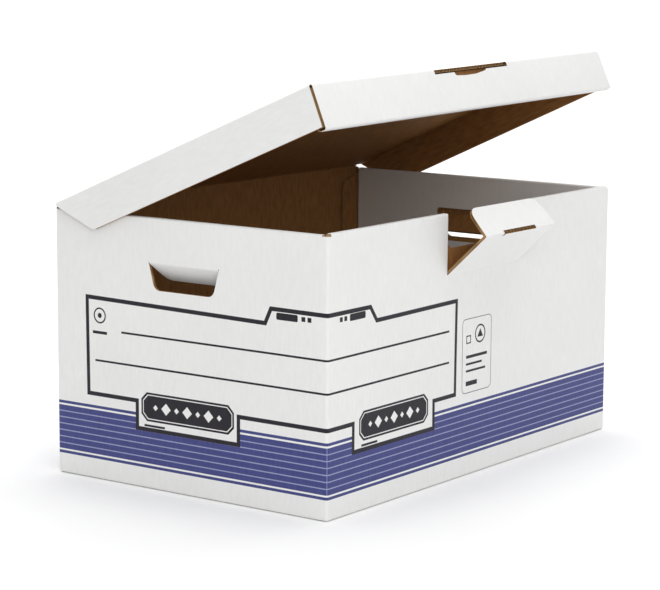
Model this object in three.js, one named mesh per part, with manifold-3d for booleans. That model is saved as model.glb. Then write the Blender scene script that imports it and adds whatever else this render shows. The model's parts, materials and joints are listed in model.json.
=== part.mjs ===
// Archive storage box of folded corrugated board: a one-piece body with an
// integral hinged lid, a lock flap in the front wall and a push-in flap in
// each hand hole. Millimetres, +Z up, the front face looks along -Y.
// Origin: centre of the underside. Rest pose: lid propped open, lock flap
// leaning out, hand-hole flaps pushed in.
import * as THREE from 'three';
import { mergeVertices } from 'three/addons/utils/BufferGeometryUtils.js';
import Module from 'manifold-3d';

// ---------------------------------------------------------------- dimensions
const T = 3.2;            // board thickness (B-flute corrugated)
const W = 550;            // body width along X, outside
const D = 361;            // body depth along Y, outside
const H = 287;            // top of the side walls
const H_FRONT = 288.3;    // top of the rolled front wall, a little higher
const H_BACK = 287.6;     // top of the back wall, below the lid crease
const PLY_GAP = 0.4;      // air between two plies of a rolled wall
const CORNER_R = 3;       // outside radius of the upright creases
const ROLL_R = 2;         // outside radius of the rolled top edges
const CORNER_DROP = 285.4;// height of the cut-down corner beside the front roll
const CORNER_CUT = 5.3;   // length of that cut along the front
const FLOOR_TOP = 6.8;    // top of the two-ply floor
const SEAM_Y = 24;        // where the front and back floor flaps meet

const HOLE_Y = 3.5;       // hand hole centre along Y
const HOLE_TOP = 241.2;   // hand hole: top edge (the flap's crease)
const HOLE_H = 29.6;      // its height
const HOLE_W_TOP = 93.6;  // its width along the crease
const HOLE_W_BOT = 77.6;  // its width at the bottom
const HOLE_R = 9;         // its bottom corner radius
const HOLE_MARGIN = 5;    // the inner ply's hole is larger by this all round
const HANDLE_ANGLE = 46;  // hand-hole flaps pushed in, degrees

const FLAP_X0 = -63;      // lock flap, left edge
const FLAP_X1 = 75;       // lock flap, right edge
const FLAP_CREASE = 223;  // height of its crease
const FLAP_CUT = 0.6;     // knife gap beside the flap
const FLAP_ANGLE = 47;    // leaning out from the wall, degrees
const LIP_L = 37;         // tuck lip, folded at a right angle
const LIP_TAPER = 3;      // its taper at each end
const LIP_R = 14;         // its corner radius
const NICK_X0 = -22;      // cut in the lip's crease
const NICK_X1 = 38;
const NICK_W = 2.2;

const AXIS_Y = D / 2 - T / 2; // lid crease
const AXIS_Z = 290.6;
const LID_ANGLE = 22.6;   // lid propped open, degrees
const LID_L = 370.4;      // crease to the front skirt's outer face
const LID_CLEAR = 1.0;    // side clearance to the body
const LID_START = 3.0;    // the panel starts this far from the crease line
const LID_SIDE = 43.4;    // side skirt depth, from the top surface
const LID_FRONT = 47;     // front skirt depth, from the top surface
const LID_GAP = 3.4;      // room between the front skirt's plies for the tabs
const TAB_L = 85;         // the side skirts' tucked tabs
const SLOT_X0 = -65;      // lock slot in the lid's front fold
const SLOT_X1 = 77;
const SLOT_D = 5.8;       // from the top surface down
const THUMB_X0 = -28;     // thumb notch in the slot's lower edge
const THUMB_X1 = 33;
const THUMB_D = 4.2;

// ------------------------------------------------------------------- helpers
const wasm = await Module();
wasm.setup();
const { Manifold, Mesh } = wasm;

function solid(geometry) {
  const g = geometry.clone();
  for (const name of Object.keys(g.attributes)) if (name !== 'position') g.deleteAttribute(name);
  const m = mergeVertices(g, 1e-4);
  return new Manifold(new Mesh({
    numProp: 3,
    vertProperties: Float32Array.from(m.attributes.position.array),
    triVerts: Uint32Array.from(m.index.array),
  }));
}

function box(x0, x1, y0, y1, z0, z1) {
  const g = new THREE.BoxGeometry(x1 - x0, y1 - y0, z1 - z0);
  g.translate((x0 + x1) / 2, (y0 + y1) / 2, (z0 + z1) / 2);
  return solid(g);
}

// an outline of [u, v] points, extruded from a to b along one axis:
// 'x' takes (u, v) as (y, z), 'y' as (x, z) and 'z' as (x, y)
function prism(points, axis, a, b) {
  const shape = new THREE.Shape(points.map((p) => new THREE.Vector2(p[0], p[1])));
  const g = new THREE.ExtrudeGeometry(shape, { depth: b - a, bevelEnabled: false, curveSegments: 6 });
  const m = new THREE.Matrix4();
  if (axis === 'x') m.set(0, 0, 1, a, 1, 0, 0, 0, 0, 1, 0, 0, 0, 0, 0, 1);
  if (axis === 'y') m.set(1, 0, 0, 0, 0, 0, -1, b, 0, 1, 0, 0, 0, 0, 0, 1);
  if (axis === 'z') m.set(1, 0, 0, 0, 0, 1, 0, 0, 0, 0, 1, a, 0, 0, 0, 1);
  g.applyMatrix4(m);
  return solid(g);
}

// polygon with some corners rounded: each entry is [u, v, radius]
function rounded(corners, steps = 4) {
  const out = [];
  const n = corners.length;
  for (let i = 0; i < n; i++) {
    const [x, y, r] = corners[i];
    if (!r) { out.push([x, y]); continue; }
    const p = new THREE.Vector2(x, y);
    const a = new THREE.Vector2(...corners[(i + n - 1) % n]).sub(p).normalize();
    const b = new THREE.Vector2(...corners[(i + 1) % n]).sub(p).normalize();
    const half = Math.acos(THREE.MathUtils.clamp(a.dot(b), -1, 1)) / 2;
    const cut = r / Math.tan(half);
    const c = a.clone().add(b).normalize().multiplyScalar(r / Math.sin(half)).add(p);
    const s = a.clone().multiplyScalar(cut).add(p).sub(c);
    const e = b.clone().multiplyScalar(cut).add(p).sub(c);
    let a0 = Math.atan2(s.y, s.x);
    let a1 = Math.atan2(e.y, e.x);
    if (a1 - a0 > Math.PI) a1 -= 2 * Math.PI;
    if (a0 - a1 > Math.PI) a1 += 2 * Math.PI;
    for (let k = 0; k <= steps; k++) {
      const t = a0 + ((a1 - a0) * k) / steps;
      out.push([c.x + r * Math.cos(t), c.y + r * Math.sin(t)]);
    }
  }
  return out;
}

function node(name, body, colour, roughness) {
  const m = body.getMesh();
  const g = new THREE.BufferGeometry();
  g.setAttribute('position', new THREE.BufferAttribute(Float32Array.from(m.vertProperties), 3));
  g.setIndex(new THREE.BufferAttribute(Uint32Array.from(m.triVerts), 1));
  g.computeVertexNormals();
  const mesh = new THREE.Mesh(g, new THREE.MeshStandardMaterial({ color: colour, roughness, metalness: 0 }));
  mesh.name = name;
  return mesh;
}

const add = (...s) => s.reduce((a, b) => a.add(b));
const XL = -W / 2, XR = W / 2, YF = -D / 2, YB = D / 2;
const IN = 2 * T + PLY_GAP; // depth of a two-ply wall

// ---------------------------------------------------------------------- body
// the four outer panels: a tube with rounded upright creases
const rect = (inset, r) => rounded([
  [XL + inset, YF + inset, r], [XR - inset, YF + inset, r],
  [XR - inset, YB - inset, r], [XL + inset, YB - inset, r],
]);
let body = prism(rect(0, CORNER_R), 'z', 0, H_FRONT)
  .subtract(prism(rect(T, 0.6), 'z', -1, H_FRONT + 1));
// walls cut to their own heights, corners cut down beside the front roll
body = body
  .subtract(box(XL - 1, XL + IN + 1, YF + IN + 0.6, YB + 1, H, H_FRONT + 1))
  .subtract(box(XR - IN - 1, XR + 1, YF + IN + 0.6, YB + 1, H, H_FRONT + 1))
  .subtract(box(XL - 1, XR + 1, YB - T - 0.5, YB + 1, H_BACK, H_FRONT + 1))
  .subtract(box(XL - 1, XL + CORNER_CUT, YF - 1, YF + IN + 0.6, CORNER_DROP, H_FRONT + 1))
  .subtract(box(XR - CORNER_CUT, XR + 1, YF - 1, YF + IN + 0.6, CORNER_DROP, H_FRONT + 1));
// bottom edges softly creased: a small chamfer all round
const foot = 1.2;
body = body
  .subtract(prism([[YF - 1, -1], [YF + foot, -1], [YF + foot, 0], [YF, foot], [YF - 1, foot]], 'x', XL - 1, XR + 1))
  .subtract(prism([[YB + 1, -1], [YB + 1, foot], [YB, foot], [YB - foot, 0], [YB - foot, -1]], 'x', XL - 1, XR + 1))
  .subtract(prism([[XL - 1, -1], [XL + foot, -1], [XL + foot, 0], [XL, foot], [XL - 1, foot]], 'y', YF - 1, YB + 1))
  .subtract(prism([[XR + 1, -1], [XR + 1, foot], [XR, foot], [XR - foot, 0], [XR - foot, -1]], 'y', YF - 1, YB + 1));

// a rolled wall's top and inner ply, as a section: u grows inwards
const rollSection = (outer, dir, top) => rounded([
  [outer, top - T - 6, 0], [outer, top, ROLL_R],
  [outer + dir * IN, top, ROLL_R], [outer + dir * IN, FLOOR_TOP + 0.5, 0],
  [outer + dir * (T + PLY_GAP), FLOOR_TOP + 0.5, 0], [outer + dir * (T + PLY_GAP), top - T, 0],
  [outer + dir * T, top - T, 0], [outer + dir * T, top - T - 6, 0],
]);
// round the outer top edge of each rolled wall's own outer panel too
const shave = (outer, dir, top) => rounded([
  [outer - dir * 1, top - ROLL_R, 0], [outer, top - ROLL_R, 0], [outer + dir * 0.27, top - 1, 0],
  [outer + dir * 1, top - 0.27, 0], [outer + dir * ROLL_R, top, 0], [outer + dir * ROLL_R, top + 1, 0], [outer - dir * 1, top + 1, 0],
]);
body = body
  .subtract(prism(shave(YF, 1, H_FRONT), 'x', XL - 1, XR + 1))
  .subtract(prism(shave(XL, 1, H), 'y', YF + IN + 0.6, YB + 1))
  .subtract(prism(shave(XR, -1, H), 'y', YF + IN + 0.6, YB + 1));
// front roll and inner ply
const frontRoll = prism(rollSection(YF, 1, H_FRONT), 'x', XL + CORNER_CUT, XR - CORNER_CUT);
// side rolls and inner plies
const leftRoll = prism(rollSection(XL, 1, H), 'y', YF + IN + 1, YB - T - 1.5);
const rightRoll = prism(rollSection(XR, -1, H), 'y', YF + IN + 1, YB - 2 * T - 1.5);

// hand holes: outer ply to the flap's size, inner ply larger by a margin
const holeShape = (grow) => rounded([
  [HOLE_Y - HOLE_W_TOP / 2 - grow, HOLE_TOP + grow, grow ? 4 : 0],
  [HOLE_Y - HOLE_W_BOT / 2 - grow, HOLE_TOP - HOLE_H - grow, HOLE_R + grow],
  [HOLE_Y + HOLE_W_BOT / 2 + grow, HOLE_TOP - HOLE_H - grow, HOLE_R + grow],
  [HOLE_Y + HOLE_W_TOP / 2 + grow, HOLE_TOP + grow, grow ? 4 : 0],
], 5);
const innerHole = (a, b) => prism(holeShape(HOLE_MARGIN), 'x', a, b);
const outerHole = (a, b) => prism(holeShape(0), 'x', a, b);

body = add(
  body.subtract(outerHole(XL - 1, XL + T + 0.2)).subtract(outerHole(XR - T - 0.2, XR + 1)),
  frontRoll,
  leftRoll.subtract(innerHole(XL + T + 0.1, XL + IN + 1)),
  rightRoll.subtract(innerHole(XR - IN - 1, XR - T - 0.1)),
);

// floor: two long flaps outside meeting near the middle, two side flaps above
body = add(
  body,
  box(XL + T + 0.2, XR - T - 0.2, YF + T - 0.5, SEAM_Y - 0.9, 0, T),
  box(XL + T + 0.2, XR - T - 0.2, SEAM_Y + 0.9, YB - T + 0.5, 0, T),
  box(XL + T - 0.5, XL + 172, YF + T + 0.4, YB - T - 0.4, T + PLY_GAP, 2 * T + PLY_GAP),
  box(XR - 172, XR - T + 0.5, YF + T + 0.4, YB - T - 0.4, T + PLY_GAP, 2 * T + PLY_GAP),
);
// glued joint: a tab of the right panel behind the back wall
body = body.add(box(XR - T - 34, XR - T + 0.2, YB - 2 * T, YB - T + 0.2, FLOOR_TOP + 4, H - 6));

// lock flap's opening: outer ply down to the crease, inner ply where the lip was
const lipNotch = rounded([
  [FLAP_X0 - FLAP_CUT, H_FRONT + 2, 0],
  [FLAP_X0 + LIP_TAPER - FLAP_CUT, H_FRONT - LIP_L - 1.3, LIP_R],
  [FLAP_X1 - LIP_TAPER + FLAP_CUT, H_FRONT - LIP_L - 1.3, LIP_R],
  [FLAP_X1 + FLAP_CUT, H_FRONT + 2, 0],
]);
body = body
  .subtract(box(FLAP_X0 - FLAP_CUT, FLAP_X1 + FLAP_CUT, YF - 1, YF + T + 0.2, FLAP_CREASE, H_FRONT + 2))
  .subtract(prism(lipNotch, 'y', YF + T + 0.1, YF + IN + 1));

// ----------------------------------------------------------------- lock flap
// own frame: crease along X at the outer face, panel up +Z, inwards +Y
const flapTop = H_FRONT - FLAP_CREASE;
const flapSection = rounded([
  [0, 0.4, 0], [0, flapTop, 1.6], [LIP_L, flapTop, 0], [LIP_L, flapTop - T, 0], [T, flapTop - T, 0], [T, 0.4, 0],
]);
let flap = prism(flapSection, 'x', FLAP_X0, FLAP_X1);
// the lip tapers and has round corners
const lipKeep = rounded([
  [FLAP_X0 - 5, -5, 0], [FLAP_X1 + 5, -5, 0], [FLAP_X1 + 5, T, 0], [FLAP_X1, T, 0],
  [FLAP_X1 - LIP_TAPER, LIP_L, LIP_R], [FLAP_X0 + LIP_TAPER, LIP_L, LIP_R], [FLAP_X0, T, 0], [FLAP_X0 - 5, T, 0],
], 6);
flap = flap.intersect(prism(lipKeep, 'z', -5, flapTop + 5));
// nick cut along the lip's crease
flap = flap.subtract(box(NICK_X0, NICK_X1, -1, NICK_W, flapTop - NICK_W, flapTop + 1));
flap = flap.subtract(box(NICK_X0, NICK_X0 + 3, -1, NICK_W, flapTop - 5, flapTop + 1));

// ----------------------------------------------------------- hand-hole flaps
// own frame: crease along Y at the panel's inner face, flap down -Z, the
// outer face towards -X (left flap)
function handleFlap(side) {
  const c = 1; // knife gap, enough for the thick flap to swing
  const outline = rounded([
    [HOLE_Y - HOLE_W_TOP / 2 + c, -0.4, 0],
    [HOLE_Y - HOLE_W_BOT / 2 + c, -HOLE_H + c, HOLE_R],
    [HOLE_Y + HOLE_W_BOT / 2 - c, -HOLE_H + c, HOLE_R],
    [HOLE_Y + HOLE_W_TOP / 2 - c, -0.4, 0],
  ], 5);
  return side < 0 ? prism(outline, 'x', -T, 0) : prism(outline, 'x', 0, T);
}

// ----------------------------------------------------------------------- lid
// own frame: crease along X, panel towards -Y, top surface at +T/2
const LX = W / 2 + LID_CLEAR + T; // half width outside
const zt = T / 2;
const yf = -LID_L;
// top and side skirts as one bent section
let lid = prism(rounded([
  [-LX, zt - LID_SIDE, 0], [-LX, zt, 2.4], [LX, zt, 2.4], [LX, zt - LID_SIDE, 0],
  [LX - T, zt - LID_SIDE, 0], [LX - T, zt - T, 0], [-LX + T, zt - T, 0], [-LX + T, zt - LID_SIDE, 0],
]), 'y', yf + T + 0.1, -LID_START);
// the side skirts' rear ends are cut back at 45 degrees with a round corner
const rear = rounded([
  [0, zt - T - 0.6, 0], [-3.5, zt - T - 0.6, 0], [-3.5 - (LID_SIDE - T - 0.6), zt - LID_SIDE, 9],
  [-70, zt - LID_SIDE, 0], [-70, zt - LID_SIDE - 5, 0], [0, zt - LID_SIDE - 5, 0],
], 5);
lid = lid.subtract(prism(rear, 'x', -LX - 1, -LX + T + 0.2)).subtract(prism(rear, 'x', LX - T - 0.2, LX + 1));
// front skirt: outer ply, rolled lower edge, inner ply
const yi = yf + 2 * T + LID_GAP;
const skirt = rounded([
  [yf + T + 0.3, zt, 0], [yf, zt, 2.4], [yf, zt - LID_FRONT, 3], [yi, zt - LID_FRONT, 3],
  [yi, zt - T - 0.4, 0], [yi - T, zt - T - 0.4, 0], [yi - T, zt - LID_FRONT + T, 0],
  [yf + T, zt - LID_FRONT + T, 0], [yf + T, zt - T, 0], [yf + T + 0.3, zt - T, 0],
]);
let front = prism(skirt, 'x', -LX, LX);
front = front.subtract(box(-LX - 1, -W / 2 + 0.2, yf + T, yi + 1, zt - LID_FRONT + T, zt - T - 0.2))
  .subtract(box(W / 2 - 0.2, LX + 1, yf + T, yi + 1, zt - LID_FRONT + T, zt - T - 0.2))
  .subtract(box(-LX - 1, -W / 2 + 0.2, yf + T + 0.1, yi + 1, zt - LID_FRONT - 1, zt - LID_FRONT + T + 0.1))
  .subtract(box(W / 2 - 0.2, LX + 1, yf + T + 0.1, yi + 1, zt - LID_FRONT - 1, zt - LID_FRONT + T + 0.1));
// tabs of the side skirts, tucked into the front skirt
const tab = (s) => {
  const a = s * (LX - T - 0.2), b = s * (LX - T - TAB_L);
  return box(Math.min(a, b), Math.max(a, b), yf + T + 0.1, yi - T - 0.1, zt - LID_SIDE + 1, zt - T + 0.1);
};
lid = add(lid, front, tab(-1), tab(1));
// lock slot in the front fold, with a thumb notch in its lower edge
const thumb = rounded([
  [THUMB_X0 - 1, zt + 1, 0], [THUMB_X0, zt - SLOT_D - THUMB_D, 2.5], [(THUMB_X0 + THUMB_X1) / 2, zt - SLOT_D - THUMB_D + 0.3, 0],
  [THUMB_X1, zt - SLOT_D - THUMB_D * 0.35, 2], [THUMB_X1 + 1, zt + 1, 0],
]);
lid = lid
  .subtract(box(SLOT_X0, SLOT_X1, yf - 1, yf + T + 0.35, zt - SLOT_D, zt + 1))
  .subtract(prism(thumb, 'y', yf - 1, yf + T + 0.2));

// ------------------------------------------------------------------ assembly
const WHITE = 0xe6e6e6;
const object = new THREE.Group();

object.add(node('body', body, WHITE, 0.75));

const lidHinge = new THREE.Group();
lidHinge.position.set(0, AXIS_Y, AXIS_Z);
lidHinge.rotation.x = -THREE.MathUtils.degToRad(LID_ANGLE);
lidHinge.add(node('lid', lid, WHITE, 0.75));
object.add(lidHinge);

const flapHinge = new THREE.Group();
flapHinge.position.set(0, YF, FLAP_CREASE);
flapHinge.rotation.x = THREE.MathUtils.degToRad(FLAP_ANGLE);
flapHinge.add(node('lock_flap', flap, WHITE, 0.75));
object.add(flapHinge);

for (const side of [-1, 1]) {
  const hinge = new THREE.Group();
  hinge.position.set(side * (W / 2 - T), 0, HOLE_TOP);
  hinge.rotation.y = side * THREE.MathUtils.degToRad(HANDLE_ANGLE);
  hinge.add(node(side < 0 ? 'left_handle_flap' : 'right_handle_flap', handleFlap(side), WHITE, 0.75));
  object.add(hinge);
}

export default object;
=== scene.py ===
import json
import math

import bpy
import numpy as np
from mathutils import Matrix, Vector
from mathutils.geometry import delaunay_2d_cdt

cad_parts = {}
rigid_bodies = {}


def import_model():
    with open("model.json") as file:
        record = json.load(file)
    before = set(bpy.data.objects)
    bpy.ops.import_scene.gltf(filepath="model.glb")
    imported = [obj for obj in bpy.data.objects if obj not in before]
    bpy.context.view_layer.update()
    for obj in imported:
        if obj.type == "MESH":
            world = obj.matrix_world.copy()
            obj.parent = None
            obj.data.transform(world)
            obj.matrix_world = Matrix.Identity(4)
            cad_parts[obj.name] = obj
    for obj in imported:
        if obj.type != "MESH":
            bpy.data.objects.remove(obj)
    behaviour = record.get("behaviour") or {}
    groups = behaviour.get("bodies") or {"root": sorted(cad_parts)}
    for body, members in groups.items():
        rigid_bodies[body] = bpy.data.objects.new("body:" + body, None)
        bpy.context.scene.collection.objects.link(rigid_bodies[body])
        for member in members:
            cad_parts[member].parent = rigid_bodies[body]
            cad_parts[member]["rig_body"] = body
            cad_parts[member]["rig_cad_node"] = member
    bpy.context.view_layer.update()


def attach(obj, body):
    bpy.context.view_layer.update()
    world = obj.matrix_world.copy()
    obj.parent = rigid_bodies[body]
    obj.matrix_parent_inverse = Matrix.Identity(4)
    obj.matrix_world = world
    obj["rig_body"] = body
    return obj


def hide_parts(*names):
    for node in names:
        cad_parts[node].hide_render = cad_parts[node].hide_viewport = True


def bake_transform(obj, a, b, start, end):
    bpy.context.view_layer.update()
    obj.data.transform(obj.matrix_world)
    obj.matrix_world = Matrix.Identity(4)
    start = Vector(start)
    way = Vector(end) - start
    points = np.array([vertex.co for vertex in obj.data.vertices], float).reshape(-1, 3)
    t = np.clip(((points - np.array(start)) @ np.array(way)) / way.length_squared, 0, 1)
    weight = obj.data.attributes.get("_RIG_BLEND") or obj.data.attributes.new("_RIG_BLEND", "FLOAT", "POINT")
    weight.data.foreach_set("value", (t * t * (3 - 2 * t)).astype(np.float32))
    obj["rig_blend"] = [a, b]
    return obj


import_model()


# ---------------------------------------------------------------- dimensions
T = 3.2
W, D, H = 550.0, 361.0, 287.0
HF, HB = 288.3, 287.6
XL, XR, YF, YB = -W / 2, W / 2, -D / 2, D / 2
GAP = 0.4
IN = 2 * T + GAP
RC = 3.3          # upright creases
RR = 2.0          # rolled tops
RB = 3.0          # soft bottom edge
LIN = 0.35        # a liner's thickness
PITCH = 6.5       # one flute
HOLE_Y, HOLE_TOP, HOLE_H = 3.5, 241.2, 29.6
HOLE_WT, HOLE_WB, HOLE_R = 93.6, 77.6, 9.0
HANDLE = math.radians(46)
FX0, FX1, CREASE = -63.0, 75.0, 223.0
FLAP = math.radians(47)
LIP, LIP_TAPER, LIP_R = 37.0, 3.0, 14.0
AY, AZ = D / 2 - T / 2, 290.6
LID = math.radians(22.6)
TWIST = math.radians(1.6)   # the lid's right side stands a little higher
LL, LX = 370.4, W / 2 + 1.0 + T
SIDE, FRONT, LGAP = 43.4, 47.0, 3.4
SX0, SX1 = -65.0, 77.0


# ------------------------------------------------------------- plane outlines
def rounded(points, steps=5):
    """An outline whose corners with a third number are rounded to that radius."""
    out = []
    n = len(points)
    for i, p in enumerate(points):
        if len(p) < 3 or not p[2]:
            out.append((p[0], p[1]))
            continue
        c = np.array(p[:2], float)
        a = np.array(points[i - 1][:2], float) - c
        b = np.array(points[(i + 1) % n][:2], float) - c
        a /= np.linalg.norm(a)
        b /= np.linalg.norm(b)
        half = math.acos(max(-1, min(1, float(a @ b)))) / 2
        m = (a + b) / np.linalg.norm(a + b) * p[2] / math.sin(half) + c
        s = a * p[2] / math.tan(half) + c - m
        e = b * p[2] / math.tan(half) + c - m
        a0, a1 = math.atan2(s[1], s[0]), math.atan2(e[1], e[0])
        while a1 - a0 > math.pi:
            a1 -= 2 * math.pi
        while a0 - a1 > math.pi:
            a1 += 2 * math.pi
        for k in range(steps + 1):
            t = a0 + (a1 - a0) * k / steps
            out.append((m[0] + p[2] * math.cos(t), m[1] + p[2] * math.sin(t)))
    return out


def rect(u0, v0, u1, v1, r=0.0):
    return rounded([(u0, v0, r), (u1, v0, r), (u1, v1, r), (u0, v1, r)], 5)


def circle(cu, cv, r, n=28):
    return [(cu + r * math.cos(2 * math.pi * i / n), cv + r * math.sin(2 * math.pi * i / n)) for i in range(n)]


def area(poly):
    p = np.array(poly, float)
    q = np.roll(p, -1, 0)
    return float((p[:, 0] * q[:, 1] - q[:, 0] * p[:, 1]).sum() / 2)


def inset(poly, d):
    """The outline moved inwards by d, corners kept sharp."""
    p = np.array(poly, float)
    if area(poly) < 0:
        p = p[::-1]
    n = len(p)
    out = []
    for i in range(n):
        a, b, c = p[i - 1], p[i], p[(i + 1) % n]
        e1, e2 = (b - a) / np.linalg.norm(b - a), (c - b) / np.linalg.norm(c - b)
        n1, n2 = np.array((-e1[1], e1[0])), np.array((-e2[1], e2[0]))
        m = n1 + n2
        m /= max(m @ m / 2, 1e-6)
        out.append(tuple(b + m * d))
    return out


def inside(pts, poly):
    x, y = pts[:, 0], pts[:, 1]
    res = np.zeros(len(pts), bool)
    q = np.array(poly, float)
    j = len(q) - 1
    for i in range(len(q)):
        if q[i, 1] != q[j, 1]:
            cond = (q[i, 1] > y) != (q[j, 1] > y)
            xi = (q[j, 0] - q[i, 0]) * (y - q[i, 1]) / (q[j, 1] - q[i, 1]) + q[i, 0]
            res ^= cond & (x < xi)
        j = i
    return res


def flat(outline, holes=(), paint=(), ulines=(), vlines=()):
    """Triangles of an outline less its holes, split along the painted shapes
    and the given lines. Returns points, triangles and a colour per triangle."""
    verts, edges = [], []

    def ring(poly):
        b = len(verts)
        verts.extend(poly)
        edges.extend((b + i, b + (i + 1) % len(poly)) for i in range(len(poly)))

    ring(outline)
    for h in holes:
        ring(h)
    for _, p in paint:
        ring(p)
    q = np.array(outline, float)
    lo, hi = q.min(0), q.max(0)
    for u in ulines:
        if lo[0] < u < hi[0]:
            edges.append((len(verts), len(verts) + 1))
            verts.extend([(u, lo[1]), (u, hi[1])])
    for v in vlines:
        if lo[1] < v < hi[1]:
            edges.append((len(verts), len(verts) + 1))
            verts.extend([(lo[0], v), (hi[0], v)])
    out = delaunay_2d_cdt([Vector(p) for p in verts], edges, [], 0, 1e-4)
    pts = np.array([(v.x, v.y) for v in out[0]], float)
    tri = np.array([f for f in out[2] if len(f) == 3], int)
    a, b, c = pts[tri[:, 0]], pts[tri[:, 1]], pts[tri[:, 2]]
    twice = (b[:, 0] - a[:, 0]) * (c[:, 1] - a[:, 1]) - (b[:, 1] - a[:, 1]) * (c[:, 0] - a[:, 0])
    tri[twice < 0] = tri[twice < 0][:, ::-1]
    mid = (a + b + c) / 3
    keep = inside(mid, outline) & (np.abs(twice) > 1e-7)
    for h in holes:
        keep &= ~inside(mid, h)
    tri, mid = tri[keep], mid[keep]
    colour = np.zeros(len(tri), int)
    for k, p in paint:
        colour[inside(mid, p)] = k
    return pts, tri, colour


# -------------------------------------------------------------------- meshes
MATS = {}


def make(name, verts, faces, mats, index, uvs, angle=38.0):
    me = bpy.data.meshes.new(name)
    me.from_pydata([tuple(v) for v in np.asarray(verts) / 1000.0], [], [tuple(int(i) for i in f) for f in faces])
    for m in mats:
        me.materials.append(MATS[m])
    me.polygons.foreach_set("material_index", np.asarray(index, np.int32))
    me.polygons.foreach_set("use_smooth", np.ones(len(me.polygons), bool))
    layer = me.uv_layers.new(name="sheet")
    loops = np.zeros(len(me.loops), np.int32)
    me.loops.foreach_get("vertex_index", loops)
    layer.data.foreach_set("uv", (np.asarray(uvs)[loops] / 1000.0).astype(np.float32).ravel())
    me.validate()
    me.update()
    me.set_sharp_from_angle(angle=math.radians(angle))
    o = bpy.data.objects.new(name, me)
    bpy.context.scene.collection.objects.link(o)
    return o


def slab(name, sheet, mapf, n0, n1, mats, under, edge, turn=False, angle=38.0):
    """A folded closed sheet between depths n0 and n1 under the mapped face.
    mats[colour] is its face's material, under its back's and edge its rim's."""
    pts, tri, colour = sheet
    used = np.unique(tri)
    remap = -np.ones(len(pts), int)
    remap[used] = np.arange(len(used))
    pts, tri = pts[used], remap[tri]
    n = len(pts)
    d0 = n0(pts) if callable(n0) else np.full(n, float(n0))
    d1 = n1(pts) if callable(n1) else np.full(n, float(n1))
    top, bot = mapf(pts, d0), mapf(pts, d1)
    verts = np.vstack([top, bot])
    a, b, c = top[tri[:, 0]], top[tri[:, 1]], top[tri[:, 2]]
    nrm = np.cross(b - a, c - a)
    out = (top - bot)[tri[:, 0]]
    if (np.einsum("ij,ij->i", nrm, out)).sum() < 0:
        tri = tri[:, ::-1]
    names = list(mats)
    for extra in (under, edge):
        if extra not in names:
            names.append(extra)
    directed = {}
    for t in tri:
        for i in range(3):
            directed[(int(t[i]), int(t[(i + 1) % 3]))] = True
    rim = [(p, q) for (p, q) in directed if (q, p) not in directed]
    faces = [tuple(t) for t in tri] + [tuple(t[::-1] + n) for t in tri]
    faces += [(q, p, p + n, q + n) for p, q in rim]
    index = list(colour) + [names.index(under)] * len(tri) + [names.index(edge)] * len(rim)
    uv = pts[:, ::-1] if turn else pts
    return make(name, verts, faces, names, index, np.vstack([uv, uv]), angle)


def waves(lo, hi, per=6):
    k0, k1 = math.ceil(lo / PITCH * per), math.floor(hi / PITCH * per)
    return [k * PITCH / per for k in range(k0, k1 + 1)]


def fluted(name, outline, holes, mapf, along="u", depth=T, extra=()):
    """The fluted medium of a board: a waved sheet between its liners."""
    q = np.array(outline, float)
    k = 0 if along == "u" else 1
    lines = waves(q[:, k].min() + 0.2, q[:, k].max() - 0.2)
    sheet = flat(outline, holes, (), *((lines, extra) if along == "u" else (extra, lines)))
    mid, amp = depth / 2, depth / 2 - LIN - 0.14
    wave = lambda p: mid + amp * np.sin(2 * math.pi * p[:, k] / PITCH)
    return slab(name, sheet, mapf, lambda p: wave(p) - 0.11, lambda p: wave(p) + 0.11, ["medium"], "medium", "medium", along == "v", 75)


def board(name, outline, holes, mapf, along="u", face="white", back="kraft", step=30.0, layers="fmb", paint=(), palette=None):
    """A flat or folded single board: face liner, medium, back liner."""
    q = np.array(outline, float)
    us = list(np.arange(q[:, 0].min() + step, q[:, 0].max(), step))
    vs = list(np.arange(q[:, 1].min() + step, q[:, 1].max(), step))
    made = []
    turn = along == "v"
    if "f" in layers:
        made.append(slab(name + "_face", flat(outline, holes, paint, us, vs), mapf, 0, LIN, palette or [face], "kraft", "rim", turn))
    if "m" in layers:
        made.append(fluted(name + "_medium", inset(outline, 0.12), [inset(h, -0.12) for h in holes], mapf, along))
    if "b" in layers:
        made.append(slab(name + "_back", flat(outline, holes, (), us, vs), mapf, T, T - LIN, [back], "kraft", "rim", turn))
    return made


def prism(name, section, place, x0, x1, mat, steps=1):
    """A section of points carried along one way, with closed ends."""
    if area(section) < 0:
        section = section[::-1]
    n = len(section)
    xs = np.linspace(x0, x1, steps + 1)
    verts, uv = [], []
    run = np.concatenate([[0], np.cumsum(np.linalg.norm(np.diff(np.array(section + section[:1]), axis=0), axis=1))])
    for x in xs:
        for k, (a, b) in enumerate(section):
            verts.append(place(x, a, b))
            uv.append((x, run[k]))
    faces = []
    for s in range(steps):
        for i in range(n):
            j = (i + 1) % n
            faces.append((s * n + i, s * n + j, (s + 1) * n + j, (s + 1) * n + i))
    faces.append(tuple(range(n))[::-1])
    faces.append(tuple(steps * n + i for i in range(n)))
    verts = np.array(verts)
    v = np.array([verts[f[0]] for f in faces[: n]])
    c = verts.mean(0)
    m = np.array([np.cross(verts[f[1]] - verts[f[0]], verts[f[2]] - verts[f[0]]) for f in faces[: n]])
    if np.einsum("ij,ij->i", m, v - c).sum() < 0:
        faces = [f[::-1] for f in faces]
    return make(name, verts, faces, [mat], [0] * len(faces), np.array(uv))


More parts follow.
